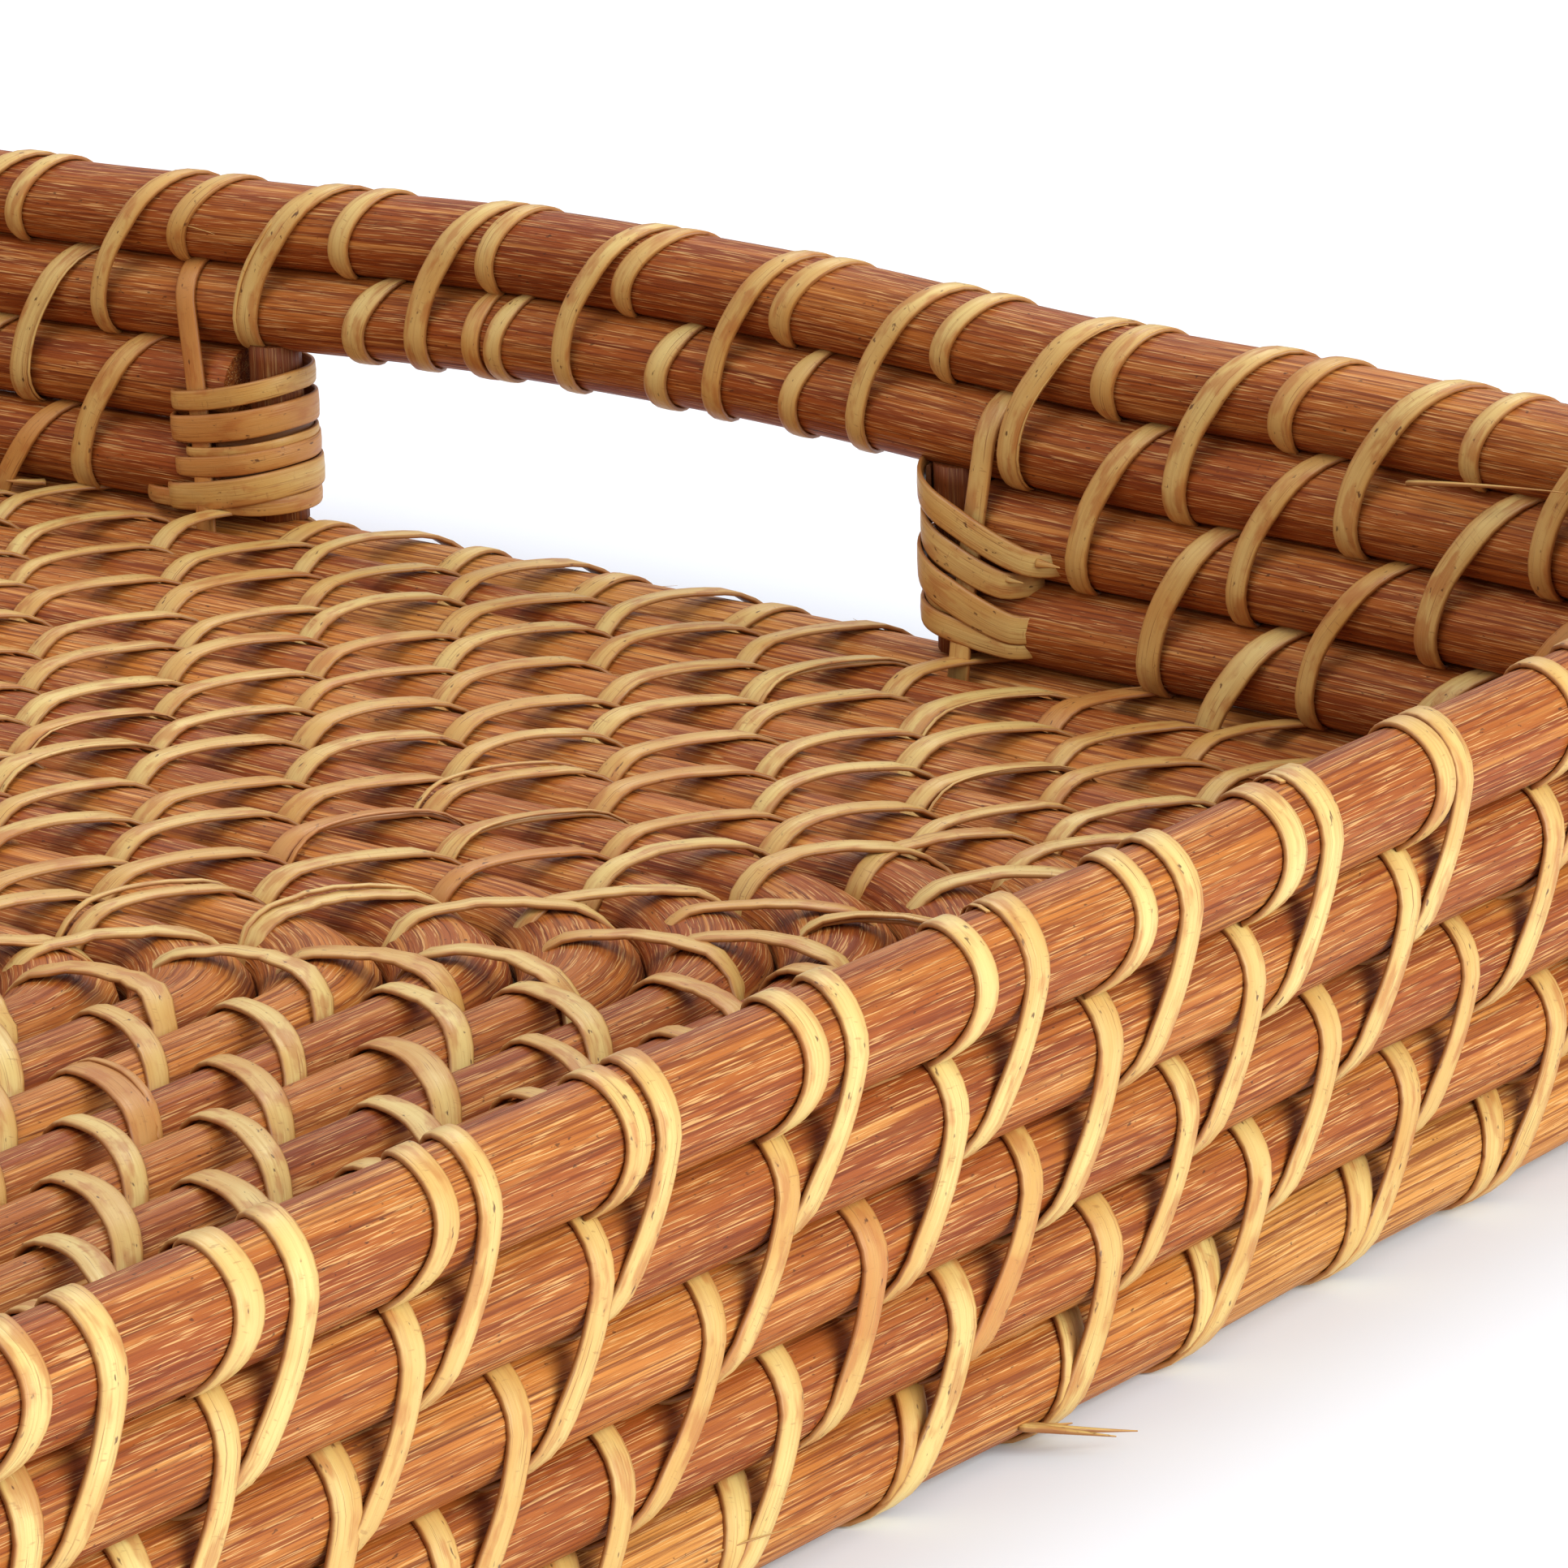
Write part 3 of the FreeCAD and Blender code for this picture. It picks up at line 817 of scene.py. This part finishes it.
def add_foot_stub(sweep, foot):
    """A frayed splint end that stands out over the floor from under the front wall."""
    beside = np.array([[FOOT_STUB_X, -FOOT_HALF_WIDTH, FOOT_HEIGHT]])
    place = foot.nearest(beside)[0][0]
    start = place + np.array([0.0, -0.8, -0.6]) * ROD_RADIUS
    for spread, length in ((-0.2, 6.0), (0.0, 8.5), (0.25, 5.0)):
        lean = unit(np.array([0.7, -0.7 + spread, -0.12]))
        add_fibre(sweep, start, lean, np.array([0.1, spread, 0.0]), length * MM, 0.9 * MM)


def add_long_hair(sweep):
    """A long hair that lies along the crease under the rim, by the front right corner."""
    inside = wall_reach(3, LONG_HAIR_Y) - RIM_RADIUS - 0.9 * MM
    start = np.array([inside, LONG_HAIR_Y, course_height(3) + WALL_PITCH * 0.55])
    add_fibre(sweep, start, np.array([-0.10, -1.0, 0.16]), np.array([-0.05, 0.0, -0.02]),
              19 * MM, 0.7 * MM)


# Materials

def srgb(red, green, blue):
    """A colour given in the usual 0-255 steps, as linear light."""
    def linear(value):
        value = value / 255
        return value / 12.92 if value <= 0.04045 else ((value + 0.055) / 1.055) ** 2.4
    return (linear(red), linear(green), linear(blue), 1.0)


class Nodes:
    """Short names for the nodes that the materials are made of."""

    def __init__(self, name):
        self.material = bpy.data.materials.new(name)
        self.material.use_nodes = True
        self.tree = self.material.node_tree
        self.shader = self.tree.nodes["Principled BSDF"]

    def new(self, kind):
        return self.tree.nodes.new(kind)

    def link(self, source, target):
        self.tree.links.new(source, target)

    def attribute(self, name, output):
        node = self.new("ShaderNodeAttribute")
        node.attribute_name = name
        return node.outputs[output]

    def stretched(self, vector, scale):
        node = self.new("ShaderNodeVectorMath")
        node.operation = "MULTIPLY"
        node.inputs[1].default_value = scale
        self.link(vector, node.inputs[0])
        return node.outputs[0]

    def noise(self, vector, scale, detail=2.0, roughness=0.5):
        """Noise whose features are scale metres long along each grain axis."""
        node = self.new("ShaderNodeTexNoise")
        node.inputs["Scale"].default_value = 1.0
        node.inputs["Detail"].default_value = detail
        node.inputs["Roughness"].default_value = roughness
        frequencies = tuple(1 / (value * MM) for value in scale)
        self.link(self.stretched(vector, frequencies), node.inputs["Vector"])
        return node.outputs["Fac"]

    def level(self, value, low, high, bottom=0.0, top=1.0):
        node = self.new("ShaderNodeMapRange")
        node.interpolation_type = "SMOOTHSTEP"
        for title, number in (("From Min", low), ("From Max", high),
                              ("To Min", bottom), ("To Max", top)):
            node.inputs[title].default_value = number
        self.link(value, node.inputs["Value"])
        return node.outputs["Result"]

    def math(self, operation, first, second):
        node = self.new("ShaderNodeMath")
        node.operation = operation
        for socket, value in ((node.inputs[0], first), (node.inputs[1], second)):
            if isinstance(value, float):
                socket.default_value = value
            else:
                self.link(value, socket)
        return node.outputs[0]

    def blend(self, first, first_share, second, second_share):
        """The two values added in the given shares."""
        return self.math("ADD", self.math("MULTIPLY", first, first_share),
                         self.math("MULTIPLY", second, second_share))

    def mix(self, factor, first, second):
        node = self.new("ShaderNodeMix")
        node.data_type = "RGBA"
        self.link(factor, node.inputs["Factor"])
        for socket, value in ((node.inputs["A"], first), (node.inputs["B"], second)):
            if isinstance(value, tuple):
                socket.default_value = value
            else:
                self.link(value, socket)
        return node.outputs["Result"]

    def bump(self, height, distance, strength):
        node = self.new("ShaderNodeBump")
        node.inputs["Distance"].default_value = distance
        node.inputs["Strength"].default_value = strength
        self.link(height, node.inputs["Height"])
        self.link(node.outputs["Normal"], self.shader.inputs["Normal"])


def rattan_material():
    """Peeled rattan: orange to red brown, with pale pore dashes and dark fibres.

    A tone below 0 makes the posts darker: partly their own darker wood, partly painted shade for
    the shadow under the rail.
    """
    nodes = Nodes("peeled_rattan")
    grain = nodes.attribute("grain", "Vector")
    tone = nodes.attribute("tone", "Fac")
    patches = nodes.noise(grain, (5, 5, 45), 3)
    fibres = nodes.noise(grain, (0.38, 0.38, 36), 4, 0.62)
    lines = nodes.noise(grain, (0.18, 0.18, 26), 2)
    dashes = nodes.noise(grain, (0.13, 0.13, 5.0), 2)
    streaks = nodes.noise(grain, (1.1, 1.1, 42), 2)
    specks = nodes.noise(grain, (0.4, 0.4, 0.9), 2)
    shade = nodes.blend(patches, 0.9, tone, 0.35)
    base = nodes.mix(nodes.level(shade, 0.35, 0.95), srgb(150, 72, 24), srgb(200, 123, 53))
    base = nodes.mix(nodes.level(tone, 0.80, 1.0, 0.0, 0.5), base, srgb(204, 146, 76))
    base = nodes.mix(nodes.level(streaks, 0.54, 0.70, 0.0, 0.6), base, srgb(212, 144, 74))
    base = nodes.mix(nodes.level(fibres, 0.38, 0.58, 0.8, 0.0), base, srgb(112, 44, 13))
    base = nodes.mix(nodes.level(lines, 0.57, 0.69, 0.0, 0.55), base, srgb(82, 33, 11))
    base = nodes.mix(nodes.level(dashes, 0.56, 0.66, 0.0, 0.6), base, srgb(226, 174, 112))
    base = nodes.mix(nodes.level(specks, 0.68, 0.76, 0.0, 0.7), base, srgb(58, 28, 14))
    # Darker posts: partly their own wood, partly painted shade for the shadow under the rail.
    base = nodes.mix(nodes.level(tone, -0.25, 0.0, 0.6, 0.0), base, srgb(88, 42, 18))
    nodes.link(base, nodes.shader.inputs["Base Color"])
    nodes.link(nodes.level(fibres, 0.3, 0.7, 0.62, 0.46), nodes.shader.inputs["Roughness"])
    nodes.shader.inputs["Specular IOR Level"].default_value = 0.26
    relief = nodes.blend(fibres, 0.8, lines, -0.6)
    nodes.bump(relief, 0.25 * MM, 0.55)
    return nodes.material


def splint_material():
    """Split cane: pale straw, its cut edges darker, with cracks and brown flecks; the pale crown
    of each splint is partly a painted highlight.

    A tone above 1 is painted shade: the dark of the strips behind the bands, which stand in the
    gaps where there is only shadow.
    """
    nodes = Nodes("split_cane")
    grain = nodes.attribute("grain", "Vector")
    tone = nodes.attribute("tone", "Fac")
    edge = nodes.attribute("edge", "Fac")
    clouds = nodes.noise(grain, (3.0, 3.0, 9), 3)
    cracks = nodes.noise(grain, (0.15, 2.0, 8), 2)
    bends = nodes.noise(grain, (1.3, 2.0, 0.28), 2)
    fibres = nodes.noise(grain, (0.26, 1.0, 15), 3)
    flecks = nodes.noise(grain, (0.55, 0.8, 1.2), 2)
    stains = nodes.noise(grain, (1.5, 2.0, 4.5), 3)
    shade = nodes.blend(clouds, 0.8, tone, 0.5)
    base = nodes.mix(nodes.level(shade, 0.32, 1.0), srgb(218, 188, 120), srgb(195, 142, 72))
    # Painted highlight in part: each splint stays pale cream along its crown, where the
    # highlight falls, and turns golden towards its edges.
    base = nodes.mix(nodes.level(edge, 0.05, 0.60, 0.0, 0.55), base, srgb(190, 128, 60))
    base = nodes.mix(nodes.level(tone, 0.80, 0.95, 0.0, 0.45), base, srgb(182, 104, 48))
    base = nodes.mix(nodes.level(fibres, 0.46, 0.72, 0.0, 0.42), base, srgb(180, 126, 66))
    base = nodes.mix(nodes.level(cracks, 0.62, 0.72, 0.0, 0.65), base, srgb(128, 68, 28))
    base = nodes.mix(nodes.level(bends, 0.64, 0.74, 0.0, 0.4), base, srgb(142, 88, 44))
    base = nodes.mix(nodes.level(stains, 0.50, 0.66, 0.0, 0.6), base, srgb(172, 98, 42))
    base = nodes.mix(nodes.level(flecks, 0.67, 0.75, 0.0, 0.85), base, srgb(84, 44, 20))
    base = nodes.mix(nodes.level(edge, 0.50, 0.95, 0.0, 0.75), base, srgb(138, 74, 30))
    # Painted shade: a tone above 1 turns a strip dark brown, for the shadow in the gaps behind
    # the bands.
    base = nodes.mix(nodes.level(tone, 1.05, 1.40, 0.0, 0.9), base, srgb(80, 40, 17))
    nodes.link(base, nodes.shader.inputs["Base Color"])
    nodes.link(nodes.level(fibres, 0.3, 0.7, 0.38, 0.55), nodes.shader.inputs["Roughness"])
    nodes.shader.inputs["Specular IOR Level"].default_value = 0.5
    relief = nodes.blend(fibres, 0.6, cracks, -0.7)
    nodes.bump(relief, 0.12 * MM, 0.45)
    return nodes.material


def paper_material():
    nodes = Nodes("white_paper")
    nodes.shader.inputs["Base Color"].default_value = srgb(238, 240, 252)
    nodes.shader.inputs["Roughness"].default_value = 0.9
    return nodes.material


# The basket

def make_lines():
    """Centre lines: core, base turns, then the five wall courses from the foot up."""
    base = [line_of(core_arcs(), FOOT_HEIGHT)]
    for number in range(1, FOOT_NUMBER):
        base.append(line_of(turn_arcs(number), FOOT_HEIGHT))
    walls = []
    for step in range(RIM_STEP + 1):
        together = np.random.default_rng(WALL_SEED)
        radius = RIM_RADIUS if step >= 3 else COURSE_RADIUS if step else ROD_RADIUS
        line = line_of(hoop_arcs(step), course_height(step), True, together, radius)
        walls.append(arched(line, RAIL_ARCH * ARCH_SHARES[step]))
    walls[0].tone = FOOT_TONE
    return base, walls


def make_base_rods(base, walls, rattan):
    sweep = Sweep()
    add_rod(sweep, base[0], 0, base[0].length)
    stand_for(sweep, "base_core", rattan, "rattan_rod")
    for number in range(1, FOOT_NUMBER):
        sweep = Sweep()
        line = base[number]
        add_rod(sweep, line, 0, line.length, None, BEND_SPREAD)
        if number == TURN_COUNT:
            tail = line_of([tail_arc()], FOOT_HEIGHT)
            tail.tone = line.tone
            turn_start = Line(line.points[:len(line.points) // 4])

            def taper(centre):
                place, room = tail_room(centre, turn_start, walls[0])
                return place, room / ROD_RADIUS
            add_rod(sweep, tail, 0, tail.length, taper)
        stand_for(sweep, "base_turn_%02d" % number, rattan, "rattan_rod")


def half_course(line, back):
    """First and last station of a wall course that stops at the hand-holds."""
    flank = 1 if back else -1
    x = wall_reach(1, COURSE_CUT)
    stations = []
    for end in (flank, -flank):
        place = np.array([[end * x, flank * COURSE_CUT, line.points[0, 2]]])
        stations.append(line.nearest(place)[1][0])
    return stations


def make_wall_rods(walls, rattan):
    for step, node in ((0, "foot_hoop"), (3, "handle_rail"), (4, "rim_rod")):
        sweep = Sweep()
        add_rod(sweep, walls[step], 0, walls[step].length)
        stand_for(sweep, node, rattan, "rattan_rod")
    for step in (1, 2):
        for half in ("front", "back"):
            line = walls[step]
            start, end = half_course(line, half == "back")
            if end < start:
                end += line.length
            sweep = Sweep()
            add_rod(sweep, line, start, end)
            stand_for(sweep, "wall_course_%d_%s" % (step + 1, half), rattan, "rattan_rod")


def make_base_lashings(base, walls, splint):
    for number in range(1, FOOT_NUMBER + 1):
        outer = walls[0] if number == FOOT_NUMBER else base[number]
        inner = base[number - 1]
        inner_start = None
        if 1 < number < FOOT_NUMBER:
            inner_start = Line(inner.points[:len(inner.points) // 4], tone=0.5)
        node = "base_lashing_%02d" % number
        sweep = Sweep()
        for run in runs_of(band_stations(node, outer, BASE_PITCH * 0.55)):
            wind(sweep, outer, inner, run, inner_start)
        stand_for(sweep, node, splint, "cane_splint")


def make_wall_lashings(walls, splint):
    for step in range(1, RIM_STEP + 1):
        node = "wall_lashing_%d" % step
        sweep = Sweep()
        for run in runs_of(band_stations(node, walls[step], WALL_PITCH * 0.6)):
            wind(sweep, walls[step], walls[step - 1], run)
        stand_for(sweep, node, splint, "cane_splint")


SINGLE_WRAPS = (("rim_wraps", RIM_STEP, -0.44, 0.44), ("handle_rail_wraps", 3, 0.02, 0.98),
                ("foot_hoop_wraps", 0, -0.48, 0.48))
DOUBLED_SHARE = 0.4


def make_single_wraps(walls, splint):
    """The short wraps round one course: its node, its step up, and where it starts and ends."""
    for node, step, first, last in SINGLE_WRAPS:
        sweep = Sweep()
        for station in band_stations(node, walls[step], WALL_PITCH * 0.7):
            place = station + random.normal(0, STITCH_JITTER)
            wrap_one(sweep, walls[step], place, first, last, random.uniform(7, 13) * MM)
            if step == 3 and random.uniform() < DOUBLED_SHARE:
                wrap_one(sweep, walls[step], place + 2.2 * MM, first, last, 4 * MM)
        stand_for(sweep, node, splint, "cane_splint")


def make_handles(walls, rattan, splint):
    for end, end_name in ((1, "right"), (-1, "left")):
        for flank, flank_name in ((-1, "front"), (1, "back")):
            place = "%s_%s" % (end_name, flank_name)
            sweep = Sweep()
            add_post(sweep, "handle_post_" + place)
            stand_for(sweep, "handle_post_" + place, rattan, "rattan_rod")
            sweep = Sweep()
            fanned = end * flank < 0
            add_binding(sweep, walls, end, flank, fanned)
            if fanned:
                add_frayed_ends(sweep, end, flank)
            stand_for(sweep, "end_binding_" + place, splint, "cane_splint")


def make_loose_ends(walls, splint):
    sweep = Sweep()
    add_loose_ends(sweep, walls)
    piece = sweep.build("loose_splint_ends", splint)
    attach(piece, "root")


# The stage

def make_floor():
    mesh = bpy.data.meshes.new("floor")
    reach = 6.0
    corners = [(-reach, -reach, 0), (reach, -reach, 0), (reach, reach, 0), (-reach, reach, 0)]
    mesh.from_pydata(corners, [], [(0, 1, 2, 3)])
    mesh.materials.append(paper_material())
    floor = bpy.data.objects.new("floor", mesh)
    bpy.context.scene.collection.objects.link(floor)


def add_light(name, place, target, size, power, colour=(1, 1, 1)):
    light = bpy.data.lights.new(name, "AREA")
    light.shape = "DISK"
    light.size = size
    light.energy = power
    light.color = colour
    lamp = bpy.data.objects.new(name, light)
    lamp.location = place
    lamp.rotation_euler = (Vector(target) - Vector(place)).to_track_quat("-Z", "Y").to_euler()
    bpy.context.scene.collection.objects.link(lamp)


def make_lights():
    world = bpy.data.worlds.new("studio")
    world.use_nodes = True
    background = world.node_tree.nodes["Background"]
    background.inputs["Color"].default_value = (1.0, 1.0, 1.0, 1.0)
    background.inputs["Strength"].default_value = 0.60
    bpy.context.scene.world = world
    middle = (0.0, 0.0, 0.0)
    add_light("key", (-0.62, 0.1, 1.42), middle, 0.8, 8, (1.0, 0.99, 0.96))
    add_light("fill", (0.1, -1.5, 0.62), (0.1, 0.0, 0.0), 1.3, 28.5, (0.88, 1.0, 0.92))
    add_light("backdrop", (0.78, 0.5, 0.9), (0.52, 0.28, 0.0), 0.6, 3.6)


def make_camera():
    """The viewpoint: low over the near corner, through a long lens."""
    azimuth = math.radians(39.9)
    elevation = math.radians(17.1)
    roll = -0.034
    distance = 0.757
    aim = Vector((wall_reach(0, 0) - 10.5 * MM, -0.0308, -0.0049))
    ahead = Vector((math.cos(elevation) * math.cos(azimuth),
                    math.cos(elevation) * math.sin(azimuth), -math.sin(elevation)))
    data = bpy.data.cameras.new("camera")
    data.sensor_width = 36.0
    data.lens = 175.7
    data.clip_start = 0.01
    camera = bpy.data.objects.new("camera", data)
    turned = ahead.to_track_quat("-Z", "Y").to_matrix().to_4x4() @ Matrix.Rotation(roll, 4, "Z")
    camera.matrix_world = Matrix.Translation(aim - ahead * distance) @ turned
    bpy.context.scene.collection.objects.link(camera)
    bpy.context.scene.camera = camera


rattan = rattan_material()
splint = splint_material()
base_lines, wall_lines = make_lines()
make_base_rods(base_lines, wall_lines, rattan)
make_wall_rods(wall_lines, rattan)
make_base_lashings(base_lines, wall_lines, splint)
make_wall_lashings(wall_lines, splint)
make_single_wraps(wall_lines, splint)
make_handles(wall_lines, rattan, splint)
make_loose_ends(wall_lines, splint)
make_floor()
make_lights()
make_camera()
bpy.context.scene.view_settings.view_transform = "Standard"
